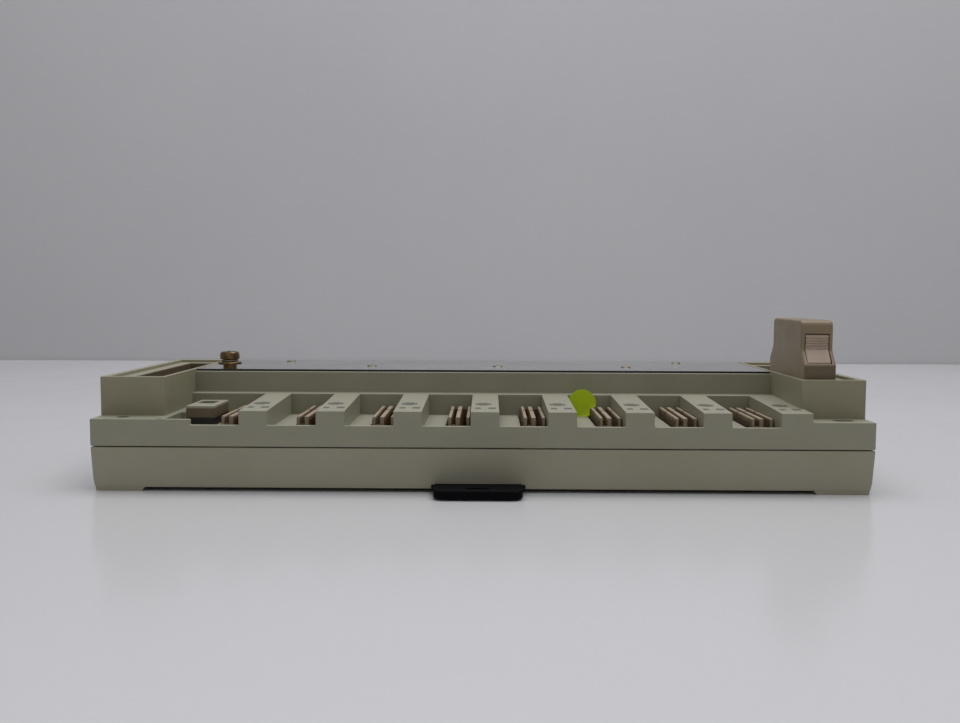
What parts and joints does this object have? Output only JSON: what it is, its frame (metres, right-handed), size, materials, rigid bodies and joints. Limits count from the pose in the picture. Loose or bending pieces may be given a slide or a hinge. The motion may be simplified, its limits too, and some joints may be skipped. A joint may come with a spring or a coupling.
{
  "type": "plc module base",
  "caption": "Backplane base for plug-in controller modules: U-shaped slots with board connectors, a metal ground plate, cable wells, a terminating plug and a rail latch.",
  "frame": {"origin": "centre of the outline at the height of the feet, where the base rests on the table or panel", "axes": "+X along the row of slots towards the terminating plug, +Y from the latch edge towards the ground plate, +Z away from the panel"},
  "size_m": [0.355, 0.1484, 0.0782],
  "materials": {
    "shell_plastic": "moulded ABS, light texture",
    "deck_plastic": "moulded ABS, light texture",
    "well_plastic": "moulded ABS, light texture",
    "foot_plastic": "moulded ABS",
    "plate_metal": "bright nickel-plated steel sheet",
    "screw_steel": "zinc-plated steel",
    "dark_screw": "blackened steel",
    "screw_brass": "yellow-passivated brass",
    "washer_steel": "spring steel",
    "board_green": "glass-epoxy board",
    "part_black": "moulded epoxy",
    "connector_brown": "glass-filled polyester",
    "contact_gold": "gold-plated bronze",
    "clip_steel": "spring steel",
    "switch_black": "glass-filled nylon",
    "dot_green": "coated paper",
    "latch_black": "acetal",
    "hood_plastic": "moulded ABS",
    "lever_plastic": "acetal"
  },
  "bodies": {
    "base": {"bottom_shell": "shell_plastic", "end_feet": "foot_plastic", "slot_deck": "deck_plastic", "slot_ribs": "deck_plastic", "rear_block": "deck_plastic", "in_well": "well_plastic", "out_well": "well_plastic", "ground_plate": "plate_metal", "plate_screws": "dark_screw", "backplane_board": "board_green", "board_parts": "part_black", "housing_screws": "screw_steel", "slot_1_housing": "connector_brown", "slot_2_housing": "connector_brown", "slot_3_housing": "connector_brown", "slot_4_housing": "connector_brown", "slot_5_housing": "connector_brown", "slot_6_housing": "connector_brown", "slot_7_housing": "connector_brown", "slot_8_housing": "connector_brown", "slot_1_contacts": "contact_gold", "slot_2_contacts": "contact_gold", "slot_3_contacts": "contact_gold", "slot_4_contacts": "contact_gold", "slot_5_contacts": "contact_gold", "slot_6_contacts": "contact_gold", "slot_7_contacts": "contact_gold", "slot_8_contacts": "contact_gold", "in_connector": "connector_brown", "in_contacts": "contact_gold", "in_clips": "clip_steel", "out_connector": "connector_brown", "out_contacts": "contact_gold", "out_clips": "clip_steel", "ground_boss": "screw_brass", "ground_strap": "plate_metal", "switch_body": "switch_black", "switch_cap": "deck_plastic", "inspection_dot": "dot_green", "latch_spring": "clip_steel"},
    "latch": {"din_latch": "latch_black"},
    "screw": {"ground_screw": "screw_brass", "spring_washer": "washer_steel", "flat_washer": "screw_brass"},
    "slider": {"switch_slider": "switch_black"},
    "plug": {"plug_hood_left": "hood_plastic", "plug_hood_right": "hood_plastic", "plug_insert": "connector_brown", "plug_contacts": "contact_gold", "plug_board": "board_green", "plug_resistors": "part_black", "plug_screws": "screw_steel", "lever_pins": "screw_steel", "lever_spring_front": "clip_steel", "lever_spring_rear": "clip_steel"},
    "front_lever": {"lever_front": "lever_plastic"},
    "rear_lever": {"lever_rear": "lever_plastic"}
  },
  "joints": [
    {"name": "latch_slide", "type": "slide", "parent": "base", "child": "latch", "axis": [0, -1, 0], "range_m": [0, 0.005], "stiffness_N_per_m": 600, "springref_m": -0.004, "deforming": ["latch_spring"]},
    {"name": "screw_turn", "type": "hinge", "parent": "base", "child": "screw", "pos_m": [-0.1325, 0.01725, 0.052], "axis": [0, 0, 1], "continuous": true},
    {"name": "switch_slide", "type": "slide", "parent": "base", "child": "slider", "axis": [0, 1, 0], "range_m": [0, 0.005]},
    {"name": "plug_pull", "type": "slide", "parent": "base", "child": "plug", "axis": [0, 0, 1], "range_m": [0, 0.045], "deforming": ["out_clips"]},
    {"name": "front_lever_press", "type": "hinge", "parent": "plug", "child": "front_lever", "pos_m": [0.157, -0.03585, 0.054], "axis": [-1, 0, 0], "range_deg": [0, 6], "stiffness_Nm_per_rad": 0.08, "springref_deg": -5.73, "deforming": ["lever_spring_front"]},
    {"name": "rear_lever_press", "type": "hinge", "parent": "plug", "child": "rear_lever", "pos_m": [0.157, 0.01385, 0.054], "axis": [1, 0, 0], "range_deg": [0, 6], "stiffness_Nm_per_rad": 0.08, "springref_deg": -5.73, "deforming": ["lever_spring_rear"]}
  ]
}
